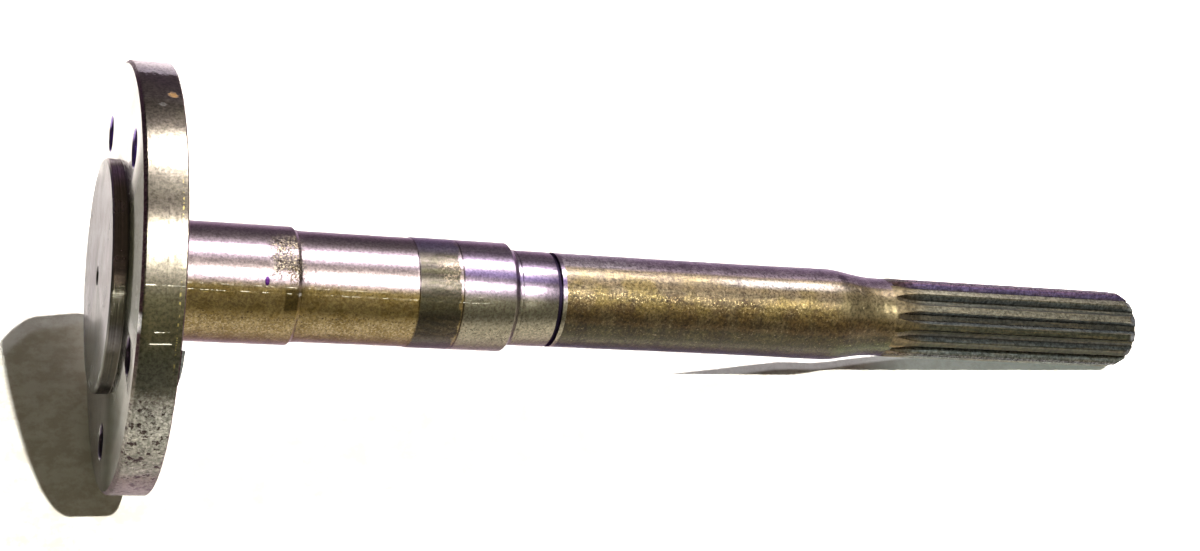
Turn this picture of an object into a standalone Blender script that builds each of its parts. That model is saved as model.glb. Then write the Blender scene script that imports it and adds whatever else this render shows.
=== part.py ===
# Flanged axle shaft, forged and turned from one bar: pilot, wheel flange with a bolt circle,
# ground journals, circlip groove, forged shank and an involute splined end with hob run-outs.
# It lies as it does on a bench, on the edge of its flange and on two spline teeth.

import math

import bmesh
import bpy
from mathutils import Matrix, Vector

MM = 0.001

# Wheel flange and its pilot
FLANGE_RADIUS = 85.0 * MM
FLANGE_THICKNESS = 16.0 * MM
FLANGE_FACE_CHAMFER = 1.4 * MM
FLANGE_BACK_CHAMFER = 0.5 * MM
FLANGE_FILLET = 4.0 * MM
PILOT_HEIGHT = 5.8 * MM
PILOT_CHAMFER = 0.8 * MM

# Stud holes in the flange, turned a little off the top towards the far side
BOLT_COUNT = 5
BOLT_EDGE_DISTANCE = 19.2 * MM
BOLT_PILOT_DISTANCE = 19.8 * MM
BOLT_HOLE_RADIUS = 7.1 * MM
BOLT_HOLE_CHAMFER = 0.6 * MM
BOLT_TURN = math.radians(-2.3)

# Lathe centres in both ends
CENTRE_MOUTH_RADIUS = 4.0 * MM
CENTRE_DRILL_RADIUS = 1.6 * MM
CENTRE_DRILL_DEPTH = 8.5 * MM
CENTRE_HALF_ANGLE = math.radians(30)
DRILL_TIP_HALF_ANGLE = math.radians(59)

# Journals, in their order from the flange's back face
SEAL_RADIUS = 24.0 * MM
SEAL_LENGTH = 53.5 * MM
LAND_RADIUS = 23.2 * MM
LAND_LENGTH = 3.2 * MM
BEARING_RADIUS = 22.5 * MM
BEARING_LENGTH = 45.6 * MM
COLLAR_RADIUS = 22.8 * MM
COLLAR_LENGTH = 40.4 * MM
COLLAR_CHAMFER = 2.5 * MM
RELIEF_WIDTH = 1.8 * MM
RELIEF_DEPTH = 0.25 * MM
CLIP_JOURNAL_RADIUS = 20.0 * MM
CLIP_JOURNAL_LENGTH = 20.7 * MM
CLIP_GROOVE_WIDTH = 1.85 * MM
CLIP_GROOVE_DEPTH = 1.25 * MM
CLIP_GROOVE_SETBACK = 1.8 * MM

# Forged shank, which swells a little before it tapers to the neck
SHANK_RADIUS = 19.95 * MM
SHANK_LENGTH = 127.0 * MM
SWELL_RADIUS = 20.3 * MM
SWELL_LENGTH = 46.0 * MM
TAPER_LENGTH = 24.0 * MM
NECK_RADIUS = 17.5 * MM
NECK_LENGTH = 5.0 * MM
NECK_RISE_LENGTH = 5.0 * MM

# Involute spline
SPLINE_TEETH = 13
SPLINE_MODULE = 2.54 * MM
SPLINE_PRESSURE_ANGLE = math.radians(30)
SPLINE_LENGTH = 123.0 * MM
SPLINE_END_CHAMFER = 2.2 * MM
SPLINE_END_LEAD = 4.5 * MM
SPLINE_RUNOUT_LEAD = 4.0 * MM
HOB_RADIUS = 35.0 * MM

# Raised burr on the rim's back edge, on the near side
BURR_HEIGHT = 1.35 * MM
BURR_THICKNESS = 1.5 * MM
BURR_START = math.radians(61.5)
BURR_ARC = math.radians(10.5)

# How finely round forms are cut into facets
ROUND_FACETS = 72
HOLE_FACETS = 28
ARC_STEPS = 4
FLANK_STEPS = 4
RUNOUT_STEPS = 6
BURR_STEPS = 6
TAPER_STEPS = 8
CUTTER_OVERSHOOT = 0.7 * MM
MERGE_DISTANCE = 0.001 * MM

# Sizes that follow from the ones above
BOLT_CIRCLE_RADIUS = FLANGE_RADIUS - BOLT_EDGE_DISTANCE
PILOT_RADIUS = BOLT_CIRCLE_RADIUS - BOLT_PILOT_DISTANCE
PILOT_FACE = -(FLANGE_THICKNESS + PILOT_HEIGHT)
LAND_START = SEAL_LENGTH
BEARING_START = LAND_START + LAND_LENGTH
COLLAR_START = BEARING_START + BEARING_LENGTH
CLIP_JOURNAL_START = COLLAR_START + COLLAR_LENGTH + COLLAR_CHAMFER
SHANK_START = CLIP_JOURNAL_START + CLIP_JOURNAL_LENGTH
TAPER_START = SHANK_START + SHANK_LENGTH
NECK_START = TAPER_START + TAPER_LENGTH
SPLINE_START = NECK_START + NECK_LENGTH + NECK_RISE_LENGTH
SHAFT_END = SPLINE_START + SPLINE_LENGTH
SPLINE_RADIUS = SPLINE_MODULE * (SPLINE_TEETH + 1) / 2
SPLINE_PITCH_RADIUS = SPLINE_MODULE * SPLINE_TEETH / 2
SPLINE_ROOT_RADIUS = SPLINE_MODULE * (SPLINE_TEETH - 1.35) / 2
SPLINE_BASE_RADIUS = SPLINE_PITCH_RADIUS * math.cos(SPLINE_PRESSURE_ANGLE)


def clear_scene():
    for item in list(bpy.data.objects):
        bpy.data.objects.remove(item, do_unlink=True)


def facet_reach(radius):
    # A facet faces straight down and straight up, so a round form reaches this far there
    return radius * math.cos(math.pi / ROUND_FACETS)


# Outline of the turned form, as pairs of station and radius

def centre_hole(face, inward):
    # Mouth, drilled wall and tip of a lathe centre; inward is the direction into the steel
    cone_depth = (CENTRE_MOUTH_RADIUS - CENTRE_DRILL_RADIUS) / math.tan(CENTRE_HALF_ANGLE)
    tip_depth = CENTRE_DRILL_DEPTH + CENTRE_DRILL_RADIUS / math.tan(DRILL_TIP_HALF_ANGLE)
    return [
        (face + inward * tip_depth, 0.0),
        (face + inward * CENTRE_DRILL_DEPTH, CENTRE_DRILL_RADIUS),
        (face + inward * cone_depth, CENTRE_DRILL_RADIUS),
        (face, CENTRE_MOUTH_RADIUS),
    ]


def pilot_and_flange():
    face = -FLANGE_THICKNESS
    return [
        (PILOT_FACE, PILOT_RADIUS - PILOT_CHAMFER),
        (PILOT_FACE + PILOT_CHAMFER, PILOT_RADIUS),
        (face, PILOT_RADIUS),
        (face, FLANGE_RADIUS - FLANGE_FACE_CHAMFER),
        (face + FLANGE_FACE_CHAMFER, FLANGE_RADIUS),
        (-FLANGE_BACK_CHAMFER, FLANGE_RADIUS),
        (0.0, FLANGE_RADIUS - FLANGE_BACK_CHAMFER),
    ]


def flange_fillet():
    points = []
    for step in range(ARC_STEPS + 1):
        angle = math.pi / 2 * step / ARC_STEPS
        station = FLANGE_FILLET * (1 - math.cos(angle))
        radius = SEAL_RADIUS + FLANGE_FILLET * (1 - math.sin(angle))
        points.append((station, radius))
    return points


def journals():
    first_step = SEAL_RADIUS - LAND_RADIUS
    second_step = LAND_RADIUS - BEARING_RADIUS
    third_step = abs(COLLAR_RADIUS - BEARING_RADIUS)
    chamfer_end_radius = COLLAR_RADIUS - COLLAR_CHAMFER
    return [
        (LAND_START - first_step, SEAL_RADIUS),
        (LAND_START, LAND_RADIUS),
        (BEARING_START - second_step, LAND_RADIUS),
        (BEARING_START, BEARING_RADIUS),
        (COLLAR_START - third_step, BEARING_RADIUS),
        (COLLAR_START, COLLAR_RADIUS),
        (COLLAR_START + COLLAR_LENGTH, COLLAR_RADIUS),
        (CLIP_JOURNAL_START, chamfer_end_radius),
        (CLIP_JOURNAL_START, CLIP_JOURNAL_RADIUS - RELIEF_DEPTH),
        (CLIP_JOURNAL_START + RELIEF_WIDTH - RELIEF_DEPTH, CLIP_JOURNAL_RADIUS - RELIEF_DEPTH),
        (CLIP_JOURNAL_START + RELIEF_WIDTH, CLIP_JOURNAL_RADIUS),
    ]


def clip_groove():
    far_wall = SHANK_START - CLIP_GROOVE_SETBACK
    near_wall = far_wall - CLIP_GROOVE_WIDTH
    floor_radius = CLIP_JOURNAL_RADIUS - CLIP_GROOVE_DEPTH
    return [
        (near_wall, CLIP_JOURNAL_RADIUS),
        (near_wall, floor_radius),
        (far_wall, floor_radius),
        (far_wall, CLIP_JOURNAL_RADIUS),
        (SHANK_START, CLIP_JOURNAL_RADIUS),
    ]


def shank_and_taper():
    edge = abs(CLIP_JOURNAL_RADIUS - SHANK_RADIUS)
    points = [
        (SHANK_START + edge, SHANK_RADIUS),
        (TAPER_START - SWELL_LENGTH, SHANK_RADIUS),
    ]
    for step in range(TAPER_STEPS + 1):
        share = step / TAPER_STEPS
        ease = share * share * (3 - 2 * share)
        radius = SWELL_RADIUS + (NECK_RADIUS - SWELL_RADIUS) * ease
        points.append((TAPER_START + TAPER_LENGTH * share, radius))
    return points


def neck_and_spline_blank():
    return [
        (NECK_START + NECK_LENGTH, NECK_RADIUS),
        (SPLINE_START, SPLINE_RADIUS),
        (SHAFT_END - SPLINE_END_LEAD, SPLINE_RADIUS),
        (SHAFT_END, SPLINE_RADIUS - SPLINE_END_CHAMFER),
    ]


def turned_outline():
    points = centre_hole(PILOT_FACE, 1) + pilot_and_flange() + flange_fillet()
    points += journals() + clip_groove() + shank_and_taper() + neck_and_spline_blank()
    points += list(reversed(centre_hole(SHAFT_END, -1)))
    return points


# Meshes

def new_object(name, mesh_tools, parent):
    mesh = bpy.data.meshes.new(name)
    mesh_tools.to_mesh(mesh)
    mesh_tools.free()
    item = bpy.data.objects.new(name, mesh)
    bpy.context.scene.collection.objects.link(item)
    item.parent = parent
    return item


def add_spun_outline(mesh_tools, outline, facets, placing):
    # Spins an outline of station and radius about X, then puts it in its place
    start = Matrix.Rotation(math.pi / facets, 4, 'X')
    rim = [mesh_tools.verts.new(start @ Vector((station, 0.0, -radius))) for station, radius in outline]
    edges = [mesh_tools.edges.new(pair) for pair in zip(rim, rim[1:])]
    bmesh.ops.spin(mesh_tools, geom=rim + edges, cent=(0, 0, 0), axis=(1, 0, 0),
                   angle=2 * math.pi, steps=facets, use_duplicate=False)
    bmesh.ops.remove_doubles(mesh_tools, verts=mesh_tools.verts, dist=MERGE_DISTANCE)
    faces = {face for vert in rim if vert.is_valid for face in linked_faces(vert)}
    bmesh.ops.transform(mesh_tools, matrix=placing, verts=list({v for f in faces for v in f.verts}))
    return faces


def linked_faces(seed):
    # All faces of the shell that holds one corner
    found, waiting = set(), list(seed.link_faces)
    while waiting:
        face = waiting.pop()
        if face in found:
            continue
        found.add(face)
        waiting.extend(other for edge in face.edges for other in edge.link_faces)
    return found


def turned_blank(parent):
    mesh_tools = bmesh.new()
    add_spun_outline(mesh_tools, turned_outline(), ROUND_FACETS, Matrix.Identity(4))
    bmesh.ops.recalc_face_normals(mesh_tools, faces=mesh_tools.faces)
    blank = new_object("axle_shaft", mesh_tools, parent)
    blank.data.shade_smooth()
    blank.data.set_sharp_from_angle(angle=math.radians(25))
    return blank


def stud_hole_outline():
    # A drilled hole with a small countersink at both faces, longer than the flange is thick
    front, back = -FLANGE_THICKNESS, 0.0
    wide = BOLT_HOLE_RADIUS + BOLT_HOLE_CHAMFER + CUTTER_OVERSHOOT
    return [
        (front - CUTTER_OVERSHOOT, 0.0),
        (front - CUTTER_OVERSHOOT, wide),
        (front + BOLT_HOLE_CHAMFER, BOLT_HOLE_RADIUS),
        (back - BOLT_HOLE_CHAMFER, BOLT_HOLE_RADIUS),
        (back + CUTTER_OVERSHOOT, wide),
        (back + CUTTER_OVERSHOOT, 0.0),
    ]


def stud_hole_cutter(parent):
    mesh_tools = bmesh.new()
    for index in range(BOLT_COUNT):
        turn = Matrix.Rotation(BOLT_TURN + 2 * math.pi * index / BOLT_COUNT, 4, 'X')
        placing = turn @ Matrix.Translation((0, 0, BOLT_CIRCLE_RADIUS))
        add_spun_outline(mesh_tools, stud_hole_outline(), HOLE_FACETS, placing)
    bmesh.ops.recalc_face_normals(mesh_tools, faces=mesh_tools.faces)
    return as_cutter(new_object("stud_hole_cutter", mesh_tools, parent))


def involute(angle):
    return math.tan(angle) - angle


def space_half_angle(radius):
    # Half the angle between two teeth at a radius, on involute flanks
    capped = max(radius, SPLINE_BASE_RADIUS)
    at_radius = involute(math.acos(SPLINE_BASE_RADIUS / capped))
    tooth_half = math.pi / (2 * SPLINE_TEETH) + involute(SPLINE_PRESSURE_ANGLE) - at_radius
    return math.pi / SPLINE_TEETH - tooth_half


def groove_section():
    # Half of the space between two teeth, from its middle outwards, as (sideways, outwards)
    flank = []
    top = SPLINE_RADIUS + CUTTER_OVERSHOOT
    for step in range(FLANK_STEPS + 1):
        radius = SPLINE_ROOT_RADIUS + (top - SPLINE_ROOT_RADIUS) * step / FLANK_STEPS
        angle = space_half_angle(radius)
        flank.append((radius * math.sin(angle), radius * math.cos(angle)))
    return flank


def groove_stations():
    # Where the cutter's sections stand, and how far the hob's arc lifts each of them
    depth = SPLINE_RADIUS - SPLINE_ROOT_RADIUS
    runout = math.sqrt(depth * (2 * HOB_RADIUS - depth))
    deep = SPLINE_START - SPLINE_RUNOUT_LEAD + runout
    stations = []
    for step in range(RUNOUT_STEPS + 1):
        back = runout * (1 - step / RUNOUT_STEPS) * 1.15
        lift = HOB_RADIUS - math.sqrt(HOB_RADIUS ** 2 - back ** 2)
        stations.append((deep - back, lift))
    stations.append((SHAFT_END + CUTTER_OVERSHOOT, 0.0))
    return stations


def spline_cutter(parent):
    mesh_tools = bmesh.new()
    half = groove_section()
    section = [(-side, out) for side, out in reversed(half)] + half
    for index in range(SPLINE_TEETH):
        # A space faces straight down, so the shaft lies on the two teeth beside it
        turn = Matrix.Rotation(math.pi + 2 * math.pi * index / SPLINE_TEETH, 4, 'X')
        rings = []
        for station, lift in groove_stations():
            rings.append([mesh_tools.verts.new(turn @ Vector((station, side, out + lift)))
                          for side, out in section])
        for ring, following in zip(rings, rings[1:]):
            for place in range(len(section)):
                after = (place + 1) % len(section)
                mesh_tools.faces.new((ring[place], ring[after], following[after], following[place]))
        mesh_tools.faces.new(rings[0])
        mesh_tools.faces.new(rings[-1])
    bmesh.ops.recalc_face_normals(mesh_tools, faces=mesh_tools.faces)
    return as_cutter(new_object("spline_space_cutter", mesh_tools, parent))


def burr(parent):
    # A wedge that starts abruptly and fades out round the rim, rooted inside the flange
    mesh_tools = bmesh.new()
    outside = FLANGE_RADIUS - FLANGE_BACK_CHAMFER / 2
    inside = outside - BURR_THICKNESS
    root = -BURR_THICKNESS
    rings = []
    for step in range(BURR_STEPS + 1):
        share = step / BURR_STEPS
        turn = Matrix.Rotation(BURR_START + BURR_ARC * share, 4, 'X')
        height = BURR_HEIGHT * (1 - share ** 3) - FLANGE_BACK_CHAMFER * share
        section = [(root, inside), (height, inside + BURR_THICKNESS / 2), (height, outside), (root, outside)]
        rings.append([mesh_tools.verts.new(turn @ Vector((station, 0, radius))) for station, radius in section])
    for ring, following in zip(rings, rings[1:]):
        for place in range(4):
            after = (place + 1) % 4
            mesh_tools.faces.new((ring[place], ring[after], following[after], following[place]))
    mesh_tools.faces.new(rings[0])
    mesh_tools.faces.new(rings[-1])
    bmesh.ops.recalc_face_normals(mesh_tools, faces=mesh_tools.faces)
    return as_cutter(new_object("rim_burr", mesh_tools, parent))


def as_cutter(item):
    item.hide_render = True
    item.display_type = 'WIRE'
    return item


def add_boolean(target, tool, operation):
    modifier = target.modifiers.new(tool.name, 'BOOLEAN')
    modifier.object = tool
    modifier.operation = operation
    modifier.solver = 'EXACT'


# Finish and place

def worn_steel():
    material = bpy.data.materials.new("worn_steel")
    material.use_nodes = True
    shader = material.node_tree.nodes["Principled BSDF"]
    shader.inputs["Base Color"].default_value = (0.42, 0.38, 0.31, 1)
    shader.inputs["Metallic"].default_value = 1.0
    shader.inputs["Roughness"].default_value = 0.3
    return material


def lying_place():
    # The shaft touches the bench with the back edge of its rim and with two spline teeth
    rim = Vector((-FLANGE_BACK_CHAMFER, facet_reach(FLANGE_RADIUS)))
    tooth = Vector((SHAFT_END - SPLINE_END_LEAD, SPLINE_RADIUS * math.cos(space_half_angle(SPLINE_RADIUS))))
    tilt = math.atan2(rim.y - tooth.y, tooth.x - rim.x)
    lift = rim.x * math.sin(tilt) + rim.y * math.cos(tilt)
    pilot_corner = PILOT_FACE * math.cos(tilt) - facet_reach(PILOT_RADIUS - PILOT_CHAMFER) * math.sin(tilt)
    face_corner = (-FLANGE_THICKNESS * math.cos(tilt)
                   - facet_reach(FLANGE_RADIUS - FLANGE_FACE_CHAMFER) * math.sin(tilt))
    end_corner = SHAFT_END * math.cos(tilt) + facet_reach(SPLINE_RADIUS - SPLINE_END_CHAMFER) * math.sin(tilt)
    middle = (min(pilot_corner, face_corner) + end_corner) / 2
    return tilt, Vector((-middle, 0, lift))


def build():
    clear_scene()
    tilt, place = lying_place()
    axis = bpy.data.objects.new("turning_axis", None)
    axis.rotation_euler = (0, tilt, 0)
    axis.location = place
    bpy.context.scene.collection.objects.link(axis)

    shaft = turned_blank(axis)
    shaft.data.materials.append(worn_steel())
    add_boolean(shaft, burr(axis), 'UNION')
    add_boolean(shaft, stud_hole_cutter(axis), 'DIFFERENCE')
    add_boolean(shaft, spline_cutter(axis), 'DIFFERENCE')


build()
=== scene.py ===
import math

import bmesh
import bpy
from mathutils import Matrix, Vector


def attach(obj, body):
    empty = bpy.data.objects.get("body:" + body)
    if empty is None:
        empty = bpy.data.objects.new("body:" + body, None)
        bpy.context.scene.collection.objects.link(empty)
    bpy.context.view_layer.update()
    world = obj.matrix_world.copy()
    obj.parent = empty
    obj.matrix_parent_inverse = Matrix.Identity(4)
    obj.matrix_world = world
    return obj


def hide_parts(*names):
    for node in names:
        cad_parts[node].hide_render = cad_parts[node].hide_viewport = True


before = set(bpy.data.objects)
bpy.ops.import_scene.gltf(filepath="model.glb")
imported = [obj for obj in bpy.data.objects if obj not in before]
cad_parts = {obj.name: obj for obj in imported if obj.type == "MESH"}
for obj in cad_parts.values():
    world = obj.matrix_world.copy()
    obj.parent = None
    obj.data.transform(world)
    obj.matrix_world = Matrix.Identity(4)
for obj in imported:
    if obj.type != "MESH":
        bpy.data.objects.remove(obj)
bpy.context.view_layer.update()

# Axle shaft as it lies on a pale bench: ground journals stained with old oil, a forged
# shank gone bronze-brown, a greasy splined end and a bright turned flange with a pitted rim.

mm = 0.001

# The shaft's own axis: station 0 is the flange's back face, stations grow towards the spline
lie = {
    "tilt": math.radians(8.594786),
    "station0": Vector((-0.209435, 0.0, 0.083891)),
}


# Small modelling helpers

def clearSelection():
    if bpy.context.object and bpy.context.object.mode != "OBJECT":
        bpy.ops.object.mode_set(mode="OBJECT")
    bpy.ops.object.select_all(action="DESELECT")


def pickOnly(piece):
    clearSelection()
    piece.select_set(True)
    bpy.context.view_layer.objects.active = piece


def softenedOutline(corners, arcSteps):
    # Corners are station, radius and rounding in mm; a rounding above 0 becomes an arc
    points = []
    for index, (station, radius, rounding) in enumerate(corners):
        here = Vector((station, radius))
        if rounding <= 0:
            points.append(here * mm)
            continue
        before = (Vector(corners[index - 1][:2]) - here).normalized()
        after = (Vector(corners[index + 1][:2]) - here).normalized()
        half = before.angle(after) / 2
        reach = rounding / math.tan(half)
        centre = here + (before + after).normalized() * rounding / math.sin(half)
        first, last = here + before * reach - centre, here + after * reach - centre
        for step in range(arcSteps + 1):
            points.append((centre + first.slerp(last, step / arcSteps).normalized() * rounding) * mm)
    return points


def turnOutline(name, points, sides):
    # A ring is extruded and scaled from point to point; a point on the axis closes the form
    clearSelection()
    firstRing = next(index for index, point in enumerate(points) if point.y > 0)
    start = points[firstRing]
    bpy.ops.mesh.primitive_circle_add(vertices=sides, radius=start.y, location=(start.x, 0, 0),
                                      rotation=(0, math.pi / 2, 0))
    piece = bpy.context.object
    piece.name = name
    bpy.ops.object.transform_apply(location=True, rotation=True, scale=True)
    bpy.ops.object.mode_set(mode="EDIT")
    if firstRing:
        growRing(start, points[firstRing - 1])
        selectRing(piece, start)
    for here, following in zip(points[firstRing:], points[firstRing + 1:]):
        growRing(here, following)
    if points[-1].y > 0:
        bpy.ops.mesh.edge_face_add()
    if not firstRing:
        selectRing(piece, start)
        bpy.ops.mesh.edge_face_add()
    closeMesh(piece)
    return piece


def growRing(here, following):
    bpy.ops.mesh.extrude_region_move(
        TRANSFORM_OT_translate={"value": (following.x - here.x, 0, 0)})
    if following.y > 0:
        scale = following.y / here.y
        bpy.ops.transform.resize(value=(1, scale, scale), center_override=(following.x, 0, 0))
    else:
        bpy.ops.mesh.merge(type="CENTER")


def selectRing(piece, point):
    # The corners that lie at a station and a radius
    bpy.ops.mesh.select_all(action="DESELECT")
    bpy.ops.mesh.select_mode(type="VERT")
    editMesh = bmesh.from_edit_mesh(piece.data)
    for vert in editMesh.verts:
        radius = math.hypot(vert.co.y, vert.co.z)
        vert.select = abs(vert.co.x - point.x) < 1e-6 and abs(radius - point.y) < 1e-6
    editMesh.select_flush_mode()
    bmesh.update_edit_mesh(piece.data)


def closeMesh(piece):
    bpy.ops.mesh.select_all(action="SELECT")
    bpy.ops.mesh.remove_doubles(threshold=1e-6)
    bpy.ops.mesh.normals_make_consistent(inside=False)
    bpy.ops.object.mode_set(mode="OBJECT")


def copyAround(piece, count):
    # Copies all of a piece round the X axis, as one mesh
    pickOnly(piece)
    bpy.ops.object.mode_set(mode="EDIT")
    bpy.ops.mesh.select_all(action="SELECT")
    bpy.ops.mesh.spin(steps=count - 1, dupli=True, angle=2 * math.pi * (count - 1) / count,
                      center=(0, 0, 0), axis=(1, 0, 0))
    closeMesh(piece)


def applyBoolean(piece, tool, operation):
    pickOnly(piece)
    cut = piece.modifiers.new(tool.name, "BOOLEAN")
    cut.object = tool
    cut.operation = operation
    cut.solver = "EXACT"
    bpy.ops.object.modifier_apply(modifier=cut.name)
    bpy.data.objects.remove(tool, do_unlink=True)


def roll(piece, angle):
    # Turns a tool about the shaft's axis, before the shaft is tilted
    piece.data.transform(Matrix.Rotation(angle, 4, "X"))


# The turned form: radii and, from the flange's back face, stations in mm

shaft = {
    "sides": 256,
    "arcSteps": 3,
    "flangeRadius": 84.9,
    "flangeThickness": 16.0,
    "frontChamfer": 1.4,
    "backChamfer": 0.5,
    "flangeFillet": 4.0,
    "pilotRadius": 45.95,
    "pilotHeight": 5.8,
    "pilotChamfer": 0.8,
    "sealRadius": 24.0,
    "sealEnd": 52.7,
    "landRadius": 22.8,
    "landStart": 54.0,
    "bearingRadius": 22.5,
    "bearingStart": 57.0,
    "bearingEnd": 102.0,
    "collarRadius": 22.8,
    "collarStart": 102.3,
    "collarEnd": 142.7,
    "clipJournalRadius": 20.0,
    "reliefStart": 145.2,
    "reliefEnd": 146.75,
    "reliefDepth": 0.25,
    "clipJournalStart": 147.0,
    "grooveStart": 162.25,
    "grooveEnd": 164.1,
    "grooveDepth": 1.25,
    "clipJournalEnd": 165.9,
    "shankRadius": 19.95,
    "shankStart": 165.95,
    "shankWaist": (190.0, 215.0, 246.9),
    "waistDepth": 0.03,
    "swellRises": ((270.0, 0.12), (284.0, 0.29)),  # station and height over the shank
    "swellRadius": 20.3,
    "taperStart": 292.9,
    "taperLength": 24.0,
    "taperSteps": 12,
    "neckRadius": 17.5,
    "neckEnd": 321.9,
    "splineRadius": 17.76,
    "splineStart": 326.9,
    "end": 449.9,
    "endChamfer": (4.5, 2.2),
}

# The drilled centre in each end: its countersunk mouth, its bore and the drill's point
latheCentre = {
    "mouthRadius": 4.0,
    "boreRadius": 1.6,
    "coneDepth": 4.16,
    "boreDepth": 8.5,
    "pointDepth": 9.46,
}


def shaftCorners():
    face = -shaft["flangeThickness"]
    pilot = face - shaft["pilotHeight"]
    rim, boss, bevel = shaft["flangeRadius"], shaft["pilotRadius"], shaft["pilotChamfer"]
    front, back = shaft["frontChamfer"], shaft["backChamfer"]
    seal, land, bearing = shaft["sealRadius"], shaft["landRadius"], shaft["bearingRadius"]
    collar, clip, shank = shaft["collarRadius"], shaft["clipJournalRadius"], shaft["shankRadius"]
    relief, groove = clip - shaft["reliefDepth"], clip - shaft["grooveDepth"]
    waistStart, waist, waistEnd = shaft["shankWaist"]
    swell, neck, spline = shaft["swellRadius"], shaft["neckRadius"], shaft["splineRadius"]
    taperStart, taper, end = shaft["taperStart"], shaft["taperLength"], shaft["end"]
    endLength, endDepth = shaft["endChamfer"]
    corners = centreCorners(pilot, 1) + [
        (pilot, boss - bevel, 0.3), (pilot + bevel, boss, 0.3), (face, boss, 0.35),
        (face, rim - front, 0.4), (face + front, rim, 0.4), (-back, rim, 0.2), (0, rim - back, 0.2),
        (0, seal, shaft["flangeFillet"]), (shaft["sealEnd"], seal, 0.8),
        (shaft["landStart"], land, 0.4), (shaft["bearingStart"], bearing, 4.0),
        (shaft["bearingEnd"], bearing, 0.2), (shaft["collarStart"], collar, 0.2),
        (shaft["collarEnd"], collar, 0.35), (shaft["reliefStart"], clip + 0.3, 0.1),
        (shaft["reliefStart"], relief, 0.1), (shaft["reliefEnd"], relief, 0.2),
        (shaft["clipJournalStart"], clip, 0.2),
        (shaft["grooveStart"], clip, 0.08), (shaft["grooveStart"], groove, 0.1),
        (shaft["grooveEnd"], groove, 0.1), (shaft["grooveEnd"], clip, 0.08),
        (shaft["clipJournalEnd"], clip, 0), (shaft["shankStart"], shank, 0),
        (waistStart, shank, 0), (waist, shank - shaft["waistDepth"], 0), (waistEnd, shank, 0),
    ]
    corners += [(station, shank + rise, 0) for station, rise in shaft["swellRises"]]
    corners.append((taperStart, swell, 0))
    for step in range(1, shaft["taperSteps"]):
        share = step / shaft["taperSteps"]
        radius = swell + (neck - swell) * share * share * (3 - 2 * share)
        corners.append((taperStart + taper * share, radius, 0))
    corners += [
        (taperStart + taper, neck, 0), (shaft["neckEnd"], neck, 1.5), (shaft["splineStart"], spline, 1.5),
        (end - endLength, spline, 1.2), (end, spline - endDepth, 0.5),
    ]
    return corners + centreCorners(end, -1)[::-1]


def centreCorners(face, inwards):
    # From the drill's point out to the mouth on the face; inwards is the way it was drilled
    bore = latheCentre["boreRadius"]
    return [
        (face + inwards * latheCentre["pointDepth"], 0, 0),
        (face + inwards * latheCentre["boreDepth"], bore, 0),
        (face + inwards * latheCentre["coneDepth"], bore, 0),
        (face, latheCentre["mouthRadius"], 0.15),
    ]


studHoles = {
    "count": 5,
    "circle": 65.8,
    "radius": 7.1,
    "chamfer": 0.6,
    "firstTurn": math.radians(-2.3),
    "sides": 64,
    "overshoot": 0.7,
}


def studHoleTool():
    front, reach = -shaft["flangeThickness"], studHoles["overshoot"]
    wide = studHoles["radius"] + studHoles["chamfer"] + reach
    corners = [
        (front - reach, wide, 0), (front + studHoles["chamfer"], studHoles["radius"], 0.3),
        (-studHoles["chamfer"], studHoles["radius"], 0.3), (reach, wide, 0),
    ]
    tool = turnOutline("studHoleTool", softenedOutline(corners, 2), studHoles["sides"])
    tool.data.transform(Matrix.Translation((0, 0, studHoles["circle"] * mm)))
    copyAround(tool, studHoles["count"])
    roll(tool, studHoles["firstTurn"])
    return tool


spline = {
    "teeth": 13,
    "module": 2.54,
    "pressureAngle": math.radians(30),
    "rootRadius": 14.8,
    "flankSteps": 6,
    "runoutSteps": 12,
    "runoutLead": 4.0,
    "runoutReach": 1.15,
    "hobRadius": 35.0,
    "overshoot": 0.7,
}


def involute(angle):
    return math.tan(angle) - angle


def spaceHalfAngle(radius):
    pitchRadius = spline["module"] * spline["teeth"] / 2
    baseRadius = pitchRadius * math.cos(spline["pressureAngle"])
    atRadius = involute(math.acos(baseRadius / max(radius, baseRadius)))
    toothHalf = math.pi / (2 * spline["teeth"]) + involute(spline["pressureAngle"]) - atRadius
    return math.pi / spline["teeth"] - toothHalf


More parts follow.
